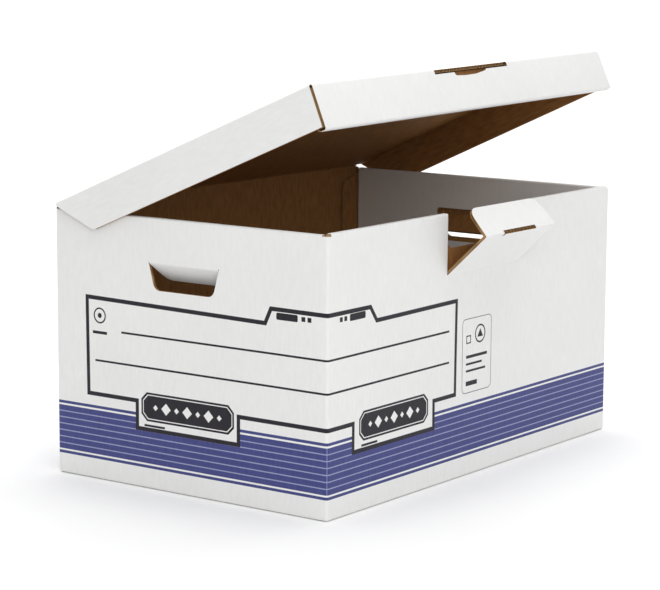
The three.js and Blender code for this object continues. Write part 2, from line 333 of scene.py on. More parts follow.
def ribbon(name, path, place, x0, x1, mat, side=1.0, thick=0.3):
    """A thin strip that follows a path in a plane square to a crease."""
    p = np.array(path, float)
    t = np.gradient(p, axis=0)
    t /= np.linalg.norm(t, axis=1)[:, None]
    nrm = np.stack([-t[:, 1], t[:, 0]], 1) * side
    sec = [tuple(x) for x in p] + [tuple(x) for x in (p + nrm * thick)[::-1]]
    return prism(name, sec, place, x0, x1, mat, 10)


# ----------------------------------------------------------------- materials
def lin(r, g, b):
    f = lambda c: c / 12.92 if c <= 0.04045 else ((c + 0.055) / 1.055) ** 2.4
    return tuple(f(x / 255.0) for x in (r, g, b)) + (1.0,)


def paper(name, dark, light, rough, flute=0.25, fibre=0.35, spot=None, scale=1.0, spec=0.3):
    """Board liner: a mottled tone, fibres along the flutes, a faint
    washboard from the flutes beneath, and a fine tooth."""
    m = bpy.data.materials.new(name)
    m.use_nodes = True
    nt = m.node_tree
    nt.nodes.clear()
    new = nt.nodes.new
    link = nt.links.new
    out = new("ShaderNodeOutputMaterial")
    s = new("ShaderNodeBsdfPrincipled")
    s.inputs["Roughness"].default_value = rough
    s.inputs["Specular IOR Level"].default_value = spec
    link(s.outputs[0], out.inputs[0])
    uv = new("ShaderNodeUVMap")
    uv.uv_map = "sheet"
    # mottled tone, drawn out along the flutes
    stretch = new("ShaderNodeMapping")
    stretch.inputs["Scale"].default_value = (1.0, 0.22, 1.0)
    link(uv.outputs[0], stretch.inputs[0])
    n1 = new("ShaderNodeTexNoise")
    n1.inputs["Scale"].default_value = 260.0 * scale
    n1.inputs["Detail"].default_value = 8.0
    n1.inputs["Roughness"].default_value = 0.62
    link(stretch.outputs[0], n1.inputs["Vector"])
    ramp = new("ShaderNodeValToRGB")
    ramp.color_ramp.elements[0].position = 0.33
    ramp.color_ramp.elements[0].color = dark
    ramp.color_ramp.elements[1].position = 0.67
    ramp.color_ramp.elements[1].color = light
    link(n1.outputs["Fac"], ramp.inputs[0])
    last = ramp.outputs[0]
    # slow clouds of tone, a hand's breadth across
    n2 = new("ShaderNodeTexNoise")
    n2.inputs["Scale"].default_value = 9.0
    n2.inputs["Detail"].default_value = 3.0
    link(uv.outputs[0], n2.inputs["Vector"])
    r2 = new("ShaderNodeValToRGB")
    r2.color_ramp.elements[0].position = 0.3
    r2.color_ramp.elements[0].color = (0.975, 0.975, 0.975, 1)
    r2.color_ramp.elements[1].position = 0.7
    r2.color_ramp.elements[1].color = (1, 1, 1, 1)
    link(n2.outputs["Fac"], r2.inputs[0])
    mul = new("ShaderNodeMix")
    mul.data_type = "RGBA"
    mul.blend_type = "MULTIPLY"
    mul.inputs[0].default_value = 1.0
    link(last, mul.inputs[6])
    link(r2.outputs[0], mul.inputs[7])
    last = mul.outputs[2]
    if spot:
        # dark specks of recycled fibre
        v = new("ShaderNodeTexVoronoi")
        v.inputs["Scale"].default_value = 420.0
        link(stretch.outputs[0], v.inputs["Vector"])
        rs = new("ShaderNodeValToRGB")
        rs.color_ramp.elements[0].position = 0.05
        rs.color_ramp.elements[0].color = spot
        rs.color_ramp.elements[1].position = 0.13
        rs.color_ramp.elements[1].color = (1, 1, 1, 1)
        link(v.outputs["Distance"], rs.inputs[0])
        mm = new("ShaderNodeMix")
        mm.data_type = "RGBA"
        mm.blend_type = "MULTIPLY"
        mm.inputs[0].default_value = 1.0
        link(last, mm.inputs[6])
        link(rs.outputs[0], mm.inputs[7])
        last = mm.outputs[2]
    link(last, s.inputs["Base Color"])
    # relief: the flutes show through, and the paper has a tooth
    sep = new("ShaderNodeSeparateXYZ")
    link(uv.outputs[0], sep.inputs[0])
    f = new("ShaderNodeMath")
    f.operation = "MULTIPLY"
    f.inputs[1].default_value = 2 * math.pi / (PITCH / 1000.0)
    link(sep.outputs[0], f.inputs[0])
    sine = new("ShaderNodeMath")
    sine.operation = "SINE"
    link(f.outputs[0], sine.inputs[0])
    b1 = new("ShaderNodeBump")
    b1.inputs["Strength"].default_value = flute
    b1.inputs["Distance"].default_value = 0.00008
    link(sine.outputs[0], b1.inputs["Height"])
    n3 = new("ShaderNodeTexNoise")
    n3.inputs["Scale"].default_value = 1400.0
    n3.inputs["Detail"].default_value = 4.0
    link(uv.outputs[0], n3.inputs["Vector"])
    b2 = new("ShaderNodeBump")
    b2.inputs["Strength"].default_value = fibre
    b2.inputs["Distance"].default_value = 0.00006
    link(n3.outputs["Fac"], b2.inputs["Height"])
    link(b1.outputs[0], b2.inputs["Normal"])
    n4 = new("ShaderNodeTexNoise")
    n4.inputs["Scale"].default_value = 28.0
    n4.inputs["Detail"].default_value = 2.0
    link(uv.outputs[0], n4.inputs["Vector"])
    b3 = new("ShaderNodeBump")
    b3.inputs["Strength"].default_value = 0.35
    b3.inputs["Distance"].default_value = 0.0006
    link(n4.outputs["Fac"], b3.inputs["Height"])
    link(b2.outputs[0], b3.inputs["Normal"])
    link(b3.outputs[0], s.inputs["Normal"])
    MATS[name] = m
    return m


paper("white", lin(236, 236, 234), lin(241, 241, 240), 0.55, flute=0.18, fibre=0.25)
paper("blue", lin(61, 66, 124), lin(69, 74, 134), 0.5, flute=0.18, fibre=0.25)
paper("pale_line", lin(146, 152, 188), lin(154, 160, 196), 0.52, flute=0.18, fibre=0.25)
paper("black", lin(29, 26, 34), lin(36, 33, 42), 0.5, flute=0.18, fibre=0.25)
paper("grey", lin(104, 102, 110), lin(116, 114, 122), 0.5, flute=0.18, fibre=0.25)
paper("kraft", lin(140, 98, 54), lin(170, 124, 74), 0.72, flute=0.6, fibre=0.5, spot=(0.72, 0.66, 0.6, 1), spec=0.2)
paper("rim", lin(158, 128, 90), lin(198, 168, 126), 0.8, flute=0.0, fibre=0.8, scale=2.0, spec=0.15)
paper("medium", lin(150, 116, 76), lin(190, 154, 108), 0.8, flute=0.0, fibre=0.7, spec=0.15)

# ------------------------------------------------------------- body: one strip
# u runs round the box: the back (-911..-361), left (-361..0), front (0..550)
# and right (550..911); v goes up each wall, over the roll and down inside
U0, U1 = -W - D + 0.3, W + D - T - 0.4


def wall(u):
    z = np.zeros_like(u)
    o = np.ones_like(u)
    back, left, front = u < -D, (u >= -D) & (u < 0), (u >= 0) & (u < W)
    px = np.select([back, left, front], [XL - D - u, XL + z, XL + u], XR + z)
    py = np.select([back, left, front], [YB + z, YF - u, YF + z], YF + u - W)
    nx = np.select([back, left, front], [z, -o, z], o)
    ny = np.select([back, left, front], [o, z, -o], z)
    for uc, (cx, cy), a, b in (
        (-D, (XL, YB), (0, 1), (-1, 0)),
        (0.0, (XL, YF), (-1, 0), (0, -1)),
        (W, (XR, YF), (0, -1), (1, 0)),
    ):
        m = np.abs(u - uc) < RC
        t = (u[m] - uc + RC) / (2 * RC) * math.pi / 2
        ax = a[0] * np.cos(t) + b[0] * np.sin(t)
        ay = a[1] * np.cos(t) + b[1] * np.sin(t)
        px[m] = cx - RC * (a[0] + b[0]) + RC * ax
        py[m] = cy - RC * (a[1] + b[1]) + RC * ay
        nx[m], ny[m] = ax, ay
    return px, py, nx, ny


def buckle(u, z):
    """How far the board leans off its plane, never outwards of it by more
    than a hair: slow swells, fading out at the creases."""
    w = np.ones_like(u)
    for uc in (-W - D, -D, 0.0, W, W + D):
        w = np.minimum(w, np.clip(np.abs(u - uc) / 60.0, 0, 1))
    w = w * np.clip(z / 50.0, 0, 1) * np.clip((H - z) / 40.0, 0, 1)
    return w * 0.16 * (1 + np.sin(u / 47.0 + 0.8) * np.cos(z / 61.0 + 0.3) + 0.5 * np.sin(u / 23.0 + z / 37.0))


ARC = math.pi * RR / 2


def levels(top):
    v1 = top - RR
    v2 = v1 + ARC
    v3 = v2 + IN - 2 * RR
    v4 = v3 + ARC
    return v1, v2, v3, v4


def down(z, top):
    """The strip's v of a height z on the inner ply."""
    return levels(top)[3] + top - RR - z


def strip(p, n):
    u, v = p[:, 0], p[:, 1]
    px, py, nx, ny = wall(u)
    top = np.where((u >= 0) & (u < W), HF, H)
    top = np.where(u < -D, 2000.0, top)
    v1 = top - RR
    v2, v3 = v1 + ARC, v1 + ARC + IN - 2 * RR
    v4 = v3 + ARC
    f1, f3 = np.clip((v - v1) / RR, 0, math.pi / 2), np.clip((v - v3) / RR, 0, math.pi / 2)
    k = np.clip((v - v2) / (IN - 2 * RR), 0, 1)
    r = RR - n
    d = np.select(
        [v <= v1, v <= v2, v <= v3, v <= v4],
        [n, RR - r * np.cos(f1), RR + (v - v2), IN - RR + r * np.sin(f3)],
        IN - n,
    )
    z = np.select(
        [v <= v1, v <= v2, v <= v3, v <= v4],
        [v, top - RR + r * np.sin(f1), top - n - 0.45 * np.sin(math.pi * k), top - RR + r * np.cos(f3)],
        top - RR - (v - v4),
    )
    low = (v < RB)
    d = np.where(low, d + RB - np.sqrt(np.maximum(RB * RB - (RB - v) ** 2, 0)), d)
    d = d + buckle(u, z)
    return np.stack([px - nx * d, py - ny * d, z], 1)


def hole(grow, zmap=lambda z: z, umap=lambda y: YF - y, rt=0.0):
    t, b = HOLE_TOP + grow, HOLE_TOP - HOLE_H - grow
    pts = rounded([
        (HOLE_Y - HOLE_WT / 2 - grow, t, rt), (HOLE_Y - HOLE_WB / 2 - grow, b, HOLE_R + grow),
        (HOLE_Y + HOLE_WB / 2 + grow, b, HOLE_R + grow), (HOLE_Y + HOLE_WT / 2 + grow, t, rt),
    ], 7)
    return [(umap(y), zmap(z)) for y, z in pts]


LEFT = lambda y: YF - y
RIGHT = lambda y: W + y - YF
LB = HF - LIP - 1.3
nx0, nx1 = FX0 - XL - 0.5, FX1 - XL + 0.5
notch = rounded([
    (nx0, CREASE), (nx1, CREASE), (nx1, levels(HF)[3]),
    (nx1 - LIP_TAPER, down(LB, HF), LIP_R), (nx0 + LIP_TAPER, down(LB, HF), LIP_R), (nx0, levels(HF)[3]),
], 8)
outline = [
    (U0, 0.02), (U1, 0.02), (U1, 286.4), (W + 353.1, 286.4), (W + 353.1, down(7.3, H)),
    (W + 7.8, down(7.3, H)), (W + 7.8, 285.4), (W - 5.3, 285.4), (W - 5.3, down(7.3, HF)),
    (5.3, down(7.3, HF)), (5.3, 285.4), (-7.8, 285.4), (-7.8, down(7.3, H)),
    (-356.3, down(7.3, H)), (-356.3, 286.7), (-D, 286.9), (-D - 3, HB), (U0, HB),
]
cuts = [
    notch, hole(0, umap=LEFT), hole(0, umap=RIGHT),
    hole(5, lambda z: down(z, H), LEFT, 4.0), hole(5, lambda z: down(z, H), RIGHT, 4.0),
]

# print: 1 blue, 2 pale line, 3 black, 4 white again, 5 grey
paint = []
for z0, z1, c in ((76.8, 79.9, 1), (26.9, 74.8, 1), (21.9, 25.0, 1)):
    paint.append((c, rect(U0, z0, U1, z1)))
for z in (68.3, 61.5, 54.5, 47.4, 40.3, 33.3):
    paint.append((2, rect(U0, z - 0.6, U1, z + 0.6)))
form = [
    (-318.9, 198.6), (-318.0, 90.2), (-250.0, 90.2), (-250.0, 61.0), (-110.0, 61.0), (-110.0, 90.2),
    (41.6, 90.1), (41.6, 60.8), (190.5, 60.8), (190.5, 90.1), (231.1, 90.1), (232.7, 195.6),
    (84.6, 194.6), (73.6, 209.6), (0.0, 209.9), (-72.2, 210.2), (-79.5, 194.8),
]
paint += [(3, form), (4, inset(form, 4.5))]
paint += [(3, rect(-269.0, 161.4, 217.0, 163.6)), (3, rect(-306.0, 127.9, 217.0, 130.1))]
# a painted highlight: a pale line along the near rounded crease, where the corner catches the light
paint.append((2, rect(-0.35, 26.9, 0.35, 74.8)))
# plates in the two bays: a plain eight-cornered panel, keyline and lozenges
for c in (-180.0, 116.0):
    def oct_(w, h, k, z=87.5):
        return [
            (c - w, z - h + k), (c - w + k, z - h), (c + w - k, z - h), (c + w, z - h + k),
            (c + w, z + h - k), (c + w - k, z + h), (c - w + k, z + h), (c - w, z + h - k),
        ]
    paint += [(3, oct_(62.0, 15.4, 7.4)), (4, oct_(59.8, 13.2, 6.5)), (3, oct_(58.8, 12.2, 6.1))]
    for k in (-3, -2, -1, 0, 1, 2, 3):
        r = 6.4 if k % 2 == 0 else 3.2
        x = c + k * 14.2
        paint.append((4, [(x - r, 87.5), (x, 87.5 - r), (x + r, 87.5), (x, 87.5 + r)]))
    paint.append((3, rect(c - 58.0, 66.3, c - 30.0, 68.7)))
# small blocks in the raised tab, on both sides of the corner
for s in (-1, 1):
    a, b = sorted((s * 64.0, s * 37.0))
    paint.append((3, rect(a, 197.6, b, 204.8, 1.6)))
    for k in (30.0, 22.5):
        paint.append((3, rect(s * k - 2.4, 198.8, s * k + 2.4, 203.6)))
# a plain ring over a bar, at the form's left end
paint += [(3, circle(-299.0, 177.5, 8.6)), (4, circle(-299.0, 177.5, 6.9)), (3, circle(-299.0, 177.5, 2.8, 18))]
paint += [(3, rect(-309.0, 157.6, -289.0, 160.8))]
# the small label beside the form: a thin frame with simple shapes
paint += [(5, rect(242.2, 90.0, 299.4, 171.4, 6.0)), (4, rect(243.1, 90.9, 298.5, 170.5, 5.1))]
paint += [(3, circle(277.0, 152.5, 10.2)), (4, circle(277.0, 152.5, 8.4)), (3, [(271.5, 149.0), (282.5, 149.0), (277.0, 158.0)])]
paint += [(3, rect(250.0, 144.0, 259.0, 153.0)), (4, rect(251.4, 145.4, 257.6, 151.6))]
paint += [(3, rect(250.0, 128.0, 291.0, 131.2)), (3, rect(250.0, 120.5, 281.0, 122.9)), (3, rect(250.0, 113.0, 288.0, 115.4)), (3, rect(250.0, 98.0, 272.0, 103.0))]

us = [uc + RC * k / 4 for uc in (-D, 0.0, W) for k in range(-4, 5)]
us += [x for x in np.arange(-900.0, 905.0, 24.0) if min(abs(x - c) for c in (-D, 0, W)) > 6]
vs = [RB * (1 - math.cos(math.radians(a))) for a in (18, 36, 54, 72, 90)]
vs += list(np.arange(30.0, 280.0, 28.0))
for top in (H, HF):
    v1, v2, v3, v4 = levels(top)
    vs += [v1 + ARC * k / 5 for k in range(6)] + [v2 + (v3 - v2) * k / 4 for k in range(1, 4)] + [v3 + ARC * k / 5 for k in range(6)]
vs += list(np.arange(320.0, 570.0, 40.0))
body_liner = slab(
    "body_liner", flat(outline, cuts, paint, us, vs), strip, 0, LIN,
    ["white", "blue", "pale_line", "black", "white", "grey"], "kraft", "rim",
)

# the outer walls' medium and kraft liner
core = [(U0 + 0.1, 3.4), (U1 - 0.1, 3.4), (U1 - 0.1, 285.0), (-D, 285.0), (-D - 3, HB - 0.1), (U0 + 0.1, HB - 0.1)]
core_cuts = [
    [(nx0 - 0.05, CREASE - 0.05), (nx1 + 0.05, CREASE - 0.05), (nx1 + 0.05, 300), (nx0 - 0.05, 300)],
    hole(0.05, umap=LEFT), hole(0.05, umap=RIGHT),
]
body_parts = [slab("body_back", flat(core, core_cuts, (), us, list(np.arange(30.0, 280.0, 28.0))), strip, T, T - LIN, ["kraft"], "kraft", "rim")]
lines = [x for x in waves(U0 + 0.3, U1 - 0.3) if True]
sheet = flat(inset(core, 0.1), [inset(h, -0.1) for h in core_cuts], (), lines, [60.0, 120.0, 180.0, 240.0])
wave = lambda p: T / 2 + (T / 2 - LIN - 0.14) * np.sin(2 * math.pi * p[:, 0] / PITCH)
body_parts.append(slab("body_medium", sheet, strip, lambda p: wave(p) - 0.11, lambda p: wave(p) + 0.11, ["medium"], "medium", "medium", False, 75))


def plane(o, a, b, n):
    o, a, b, n = (np.array(x, float) for x in (o, a, b, n))
    return lambda p, d: o + p[:, :1] * a + p[:, 1:2] * b + d[:, None] * n


# the inner plies behind the rolls: the medium and the kraft that faces out
zl = LB
lipcut = rounded([
    (nx0 - 0.1 + XL, 300.0), (nx0 + LIP_TAPER + XL, zl - 0.1, LIP_R), (nx1 - LIP_TAPER + XL, zl - 0.1, LIP_R), (nx1 + 0.1 + XL, 300.0),
], 8)
# the front ply, with its kraft face seen through the lock flap's opening
ply = rect(XL + 5.5, 7.4, XR - 5.5, 285.0)
body_parts += board("front_ply", ply, [lipcut], plane((0, YF + IN, 0), (1, 0, 0), (0, 0, 1), (0, -1, 0)), layers="mb")
yhole = hole(5.05, umap=lambda y: y, rt=4.0)
for s, x in ((-1, XL), (1, XR)):
    ply = rect(YF + 8.0, 7.4, YB - (4.9 if s < 0 else 8.1), 285.0)
    body_parts += board("side_ply", ply, [yhole], plane((x - s * IN, 0, 0), (0, 1, 0), (0, 0, 1), (s, 0, 0)), layers="mb")


def roll_core(top):
    return [
        (0.45, 285.1), (0.45, top - RR), (0.9, top - 1.05), (RR, top - 0.5), (IN / 2, top - 1.0), (IN - RR, top - 0.5),
        (IN - 0.9, top - 1.05), (IN - 0.45, top - RR), (IN - 0.45, 285.1),
    ]


fr = lambda x, d, z: (x, YF + d, z)
for a, b in ((XL + 5.35, FX0 - 0.55), (FX1 + 0.55, XR - 5.35)):
    body_parts.append(prism("front_roll", roll_core(HF), fr, a, b, "rim"))
body_parts.append(prism("left_roll", roll_core(H), lambda y, d, z: (XL + d, y, z), YF + 7.85, YB - 4.75, "rim"))
body_parts.append(prism("right_roll", roll_core(H), lambda y, d, z: (XR - d, y, z), YF + 7.85, YB - 7.95, "rim"))

# the cut-down front corners are closed with the outer liner
for s in (-1, 1):
    cap = [(0.45, 7.6), (0.45, 1.5), (1.5, 0.45), (5.2, 0.45), (5.2, 3.1), (3.1, 3.1), (3.1, 7.6)]
    cap = [(s * (W / 2 - a), YF + b) for a, b in cap]
    body_parts.append(slab("corner_cap", flat(cap), plane((0, 0, 285.42), (1, 0, 0), (0, 1, 0), (0, 0, -1)), 0, 0.3, ["white"], "white", "white"))

# the closed bottom and the glued tab inside the back wall
seam = 24.0
f0 = RB + 0.15
up = (0, 0, 1)
body_parts += board("floor_front", rounded([(XL + 3.4, YF + f0), (XR - 3.4, YF + f0), (XR - 4.4, seam - 0.9, 12), (XL + 4.4, seam - 0.9, 12)]), [], plane((0, 0, 0), (1, 0, 0), (0, 1, 0), up))
body_parts += board("floor_back", rounded([(XL + 3.4, YB - f0), (XL + 4.4, seam + 0.9, 12), (XR - 4.4, seam + 0.9, 12), (XR - 3.4, YB - f0)]), [], plane((0, 0, 0), (1, 0, 0), (0, 1, 0), up))
for s in (-1, 1):
    a = s * (W / 2 - T - 0.3)
    b = s * (W / 2 - 172.0)
    pts = [(a, YF + T + 0.5), (b, YF + T + 2.5, 16), (b, YB - T - 2.5, 16), (a, YB - T - 0.5)]
    body_parts += board("floor_side", rounded(pts if s < 0 else pts[::-1]), [], plane((0, 0, T + GAP), (1, 0, 0), (0, 1, 0), up), face="kraft")
body_parts += board(
    "glued_tab", rounded([(XR - T - 0.3, 10.8), (XR - T - 0.3, H - 6), (XR - T - 34, H - 16, 4), (XR - T - 34, 22.8, 4)]), [],
    plane((0, YB - T - 0.03, 0), (1, 0, 0), (0, 0, 1), (0, -1, 0)), layers="mb",
)


# ----------------------------------------------------------------------- lid
LR, LRB = 2.6, 2.6
P0, Q0 = LX - LR, LL - LR
LA = math.pi * LR / 2
LP1 = P0 + LA
Q2 = Q0 + LA
Q3 = Q2 + FRONT - LRB - LR
Q4 = Q3 + math.pi * LRB / 2
WIDE = 2 * T + LGAP
Q5 = Q4 + WIDE - 2 * LRB
Q6 = Q5 + math.pi * LRB / 2
Q7 = Q6 + FRONT - LRB - 3.9


def lid_place(x, s, w):
    """x across, s from the crease forwards, w down from the top surface."""
    h = T / 2 - w
    sway = 0.55 * np.sin(math.pi * np.clip((s - 3) / 360, 0, 1)) * np.sin(math.pi * (x + 279) / 558) * (1 - 0.35 * np.sin(x / 90.0))
    h = h + sway * np.clip(1.0 - w / 6.0, 0, 1)
    th = LID + TWIST * np.clip((x + 279) / 558, 0, 1) * np.clip(s / 60.0, 0, 1)
    return np.stack([x + 0 * s, AY - s * np.cos(th) + h * np.sin(th), AZ + s * np.sin(th) + h * np.cos(th)], 1)


def lid_map(p, n):
    u, q = p[:, 0], p[:, 1]
    a, sg = np.abs(u), np.sign(u)
    side = (a > P0) & (q < 367.45)
    f = np.clip((a - P0) / LR, 0, math.pi / 2)
    sx = np.where(a <= LP1, P0 + (LR - n) * np.sin(f), LX - n)
    sw = np.where(a <= LP1, LR - (LR - n) * np.cos(f), LR + a - LP1)
    fq = np.clip((q - Q0) / LR, 0, math.pi / 2)
    f3, f5 = np.clip((q - Q3) / LRB, 0, math.pi / 2), np.clip((q - Q5) / LRB, 0, math.pi / 2)
    fs = np.select(
        [q <= Q0, q <= Q2, q <= Q3, q <= Q4, q <= Q5, q <= Q6],
        [q, Q0 + (LR - n) * np.sin(fq), LL - n, LL - LRB + (LRB - n) * np.cos(f3), LL - LRB - (q - Q4), LL - WIDE + LRB - (LRB - n) * np.sin(f5)],
        LL - WIDE + n,
    )
    fw = np.select(
        [q <= Q0, q <= Q2, q <= Q3, q <= Q4, q <= Q5, q <= Q6],
        [n, LR - (LR - n) * np.cos(fq), LR + q - Q2, FRONT - LRB + (LRB - n) * np.sin(f3), FRONT - n, FRONT - LRB + (LRB - n) * np.cos(f5)],
        FRONT - LRB - (q - Q6),
    )
    x = np.where(side, sg * sx, u)
    return lid_place(x, np.where(side, q, fs), np.where(side, sw, fw))


def tw(w):
    return LP1 + w - LR


half = rounded([
    (LP1, 3.2), (tw(3.8), 3.7), (tw(SIDE), 3.7 + SIDE - 3.8, 9), (tw(SIDE), 366.9), (P0, 366.9), (P0, Q0 + 0.05), (LX - 0.3, Q0 + 0.05), (LX - 0.3, Q7),
], 6)
lid_outline = half + [(-x, y) for x, y in half[::-1]]
sq1 = Q2 + 5.8 - LR
slot_cut = rounded([
    (SX0, 366.75), (SX1, 366.75), (SX1, sq1), (33.5, sq1), (32.0, sq1 + 1.8, 1.5), (12.0, sq1 + 4.3), (-10.0, sq1 + 4.6), (-27.0, sq1 + 3.6, 2.5), (-28.5, sq1), (SX0, sq1),
], 4)
lus = [s * (P0 + LA * k / 5) for s in (-1, 1) for k in range(6)] + [x for x in np.arange(-270, 271, 18.0)]
lvs = [Q0 + LA * k / 5 for k in range(6)] + [Q3 + (Q4 - Q3) * k / 5 for k in range(6)] + [Q5 + (Q6 - Q5) * k / 5 for k in range(6)]
lvs += list(np.arange(12.0, 362.0, 16.0))
lid_liner = slab("lid_liner", flat(lid_outline, [slot_cut], (), lus, lvs), lid_map, 0, LIN, ["white"], "kraft", "rim")
lid_parts = []


def lid_plane(f):
    return lambda p, d: lid_place(*f(p[:, 0], p[:, 1], d))


# top panel, side skirts and the front skirt's two plies, under the liner
lid_parts += board("lid_top", [(-LX + T, 3.2), (LX - T, 3.2), (LX - T, 366.8), (-LX + T, 366.8)], [], lid_plane(lambda a, b, d: (a, b, d)), layers="mb", step=16.0)
skirt = rounded([(3.8, T + 0.1), (3.7 + SIDE - 3.8, SIDE, 9), (366.9, SIDE), (366.9, T + 0.1)], 6)
for s in (-1, 1):
    lid_parts += board("lid_side", skirt, [], lid_plane(lambda a, b, d, s=s: (s * (LX - d), a, b)), along="v", layers="mb", step=18.0)
fcut = rounded([(SX0, 0.0), (SX0, 5.7), (-28.5, 5.8), (-27.0, 9.5, 2.5), (-10.0, 10.5), (12.0, 10.2), (32.0, 7.7, 1.5), (33.5, 5.7), (SX1, 5.7), (SX1, 0.0)], 4)
lid_parts += board("lid_front", rect(-LX + 0.35, T + 0.1, LX - 0.35, 44.2), [fcut], lid_plane(lambda a, b, d: (a, LL - d, b)), layers="mb", step=18.0)
lid_parts += board("lid_inner", rect(-W / 2 + 0.4, T + 0.5, W / 2 - 0.4, 44.2), [], lid_plane(lambda a, b, d: (a, LL - WIDE + d, b)), layers="mb", step=18.0)
for s in (-1, 1):
    a, b = sorted((s * (LX - T - 0.4), s * (LX - T - 85.0)))
    lid_parts += board("lid_tab", rect(a, T + 0.3, b, 42.0, 0.0), [], lid_plane(lambda a, b, d: (a, LL - T - 0.1 - d, b)), layers="fmb", step=18.0)

# --------------------------------------------------------------------- lock flap
FT = HF - CREASE
FR = 1.6


def flap_place(x, y, z):
    c, s = math.cos(FLAP), math.sin(FLAP)
    return np.stack([x, YF + y * c - z * s, CREASE + y * s + z * c], 1)


FB2 = FT - FR + math.pi * FR / 2


def flap_map(p, n):
    x, b = p[:, 0], p[:, 1]
    f = np.clip((b - FT + FR) / FR, 0, math.pi / 2)
    y = np.select([b <= FT - FR, b <= FB2], [n, FR - (FR - n) * np.cos(f)], FR + b - FB2)
    z = np.select([b <= FT - FR, b <= FB2], [b, FT - FR + (FR - n) * np.sin(f)], FT - n)
    return flap_place(x, y, z)


LE = FB2 + LIP - FR
flap_outline = rounded([
    (FX0, 0.45), (FX1, 0.45), (FX1, FB2), (FX1 - LIP_TAPER, LE, LIP_R), (FX0 + LIP_TAPER, LE, LIP_R), (FX0, FB2),
], 9)
KX0, KX1 = -24.0, 36.0
KL = FB2 + T - FR + 0.8
nick = [(KX0 - 3.0, FT - FR - 3.4), (KX0 - 0.2, FT - FR - 3.0), (KX0, FT - FR), (KX1, FT - FR), (KX1, KL), (KX0 - 3.0, KL)]
fvs = [FT - FR + (FB2 - FT + FR) * k / 5 for k in range(6)] + [12, 24, 36, 48, 75, 85]
flap_liner = slab("lock_flap_liner", flat(flap_outline, [nick], (), list(np.arange(-55, 75, 14.0)), fvs), flap_map, 0, LIN, ["white"], "kraft", "rim")
flap_parts = []
panel_outline = [
    (FX0 + 0.05, 0.5), (FX1 - 0.05, 0.5), (FX1 - 0.05, FT - T - 0.12), (KX1 - 0.1, FT - T - 0.12), (KX1 - 0.1, FT - FR - 0.05), (KX0 + 0.1, FT - FR - 0.05),
    (KX0 - 0.1, FT - FR - 3.05), (KX0 - 3.0, FT - FR - 3.45), (KX0 - 3.1, FT - T - 0.12), (FX0 + 0.05, FT - T - 0.12),
]
flap_parts += board("flap_panel", panel_outline, [], lambda p, d: flap_place(p[:, 0], d, p[:, 1]), layers="mb")
lip_outline = rounded([
    (FX0 + 0.05, 0.45), (KX0 - 3.1, 0.45), (KX0 - 3.0, T + 0.75), (KX1 + 0.1, T + 0.75), (KX1 + 0.2, 0.45), (FX1 - 0.05, 0.45), (FX1 - 0.05, T), (FX1 - LIP_TAPER - 0.05, LIP - 0.05, LIP_R), (FX0 + LIP_TAPER + 0.05, LIP - 0.05, LIP_R), (FX0 + 0.05, T),
], 9)
flap_parts += board("flap_lip", lip_outline, [], lambda p, d: flap_place(p[:, 0], p[:, 1], FT - d), layers="mb")

# -------------------------------------------------------------- hand-hole flaps
handle = {}
for s in (-1, 1):
    name = "left" if s < 0 else "right"

    def handle_place(y, x, z, s=s):
        """x inwards of the crease, z up; turned in about the crease."""
        c, sn = math.cos(HANDLE), math.sin(HANDLE)
        return np.stack([s * (W / 2 - T - (x * c - z * sn)), y, HOLE_TOP + x * sn + z * c], 1)

    def handle_map(p, d, s=s, f=handle_place):
        b = -p[:, 1]
        soft = 1.3 * (b / HOLE_H) ** 2
        return f(p[:, 0], d - T + soft * 0.9, -b)

    c = 0.9
    out = rounded([
        (HOLE_Y - HOLE_WT / 2 + c, -0.4), (HOLE_Y - HOLE_WB / 2 + c, -HOLE_H + c, HOLE_R),
        (HOLE_Y + HOLE_WB / 2 - c, -HOLE_H + c, HOLE_R), (HOLE_Y + HOLE_WT / 2 - c, -0.4),
    ], 7)
    made = []
    sheet = flat(out, [], (), list(np.arange(-40, 48, 8.0)), list(np.arange(-27, 0, 3.0)))
    made.append(slab(name + "_handle_liner", sheet, handle_map, 0, LIN, ["white"], "kraft", "rim"))
    made.append(fluted(name + "_handle_medium", inset(out, 0.1), [], handle_map, extra=list(np.arange(-27, 0, 5.0))))
    made.append(slab(name + "_handle_back", sheet, handle_map, T, T - LIN, ["kraft"], "kraft", "rim"))
    handle[name] = made

# ------------------------------------------------- the board across each crease
yz = lambda x, y, z: (x, y, z)
c, s = math.cos(LID), math.sin(LID)


def lid_pt(a, h):
    return (AY - a * c + h * s, AZ + a * s + h * c)


r = T / 2
arc = [(AY + r * math.cos(t), AZ + r * math.sin(t)) for t in np.linspace(0, math.pi / 2 - LID, 9)]
lid_crease = ribbon("lid_crease", [(YB, HB - 0.05), (YB, 289.2)] + arc + [lid_pt(1.2, r), lid_pt(3.15, r)], yz, XL + 2.4, XR - 0.5, "white", 1.0)
corner = (YB - T, AZ + (1.05) * s - r * c)
lid_crease_in = ribbon(
    "lid_crease_inner", [(YB - T, HB - 0.05), (YB - T, 288.4), (YB - T - 0.12, 289.15), lid_pt(1.75, -r - 0.02), lid_pt(3.15, -r)], yz, XL + 7.4, XR - 7.4, "kraft", -1.0,
)
fc, fs_ = math.cos(FLAP), math.sin(FLAP)
fp = lambda y, z: (YF + y * fc - z * fs_, CREASE + y * fs_ + z * fc)
flap_crease = ribbon("flap_crease", [(YF, CREASE - 0.03), (YF + 0.02, CREASE + 0.02), fp(0.02, 0.2), fp(0, 0.42)], yz, FX0, FX1, "white", -1.0, 0.3)
arc = [(YF + T * math.cos(t), CREASE + T * math.sin(t)) for t in np.linspace(0, FLAP, 7)]
flap_crease_in = ribbon("flap_crease_inner", [(YF + T, CREASE - 0.1)] + arc + [fp(T, 0.42)], yz, FX0, FX1, "kraft", 1.0, 0.3)
handle_crease = {}
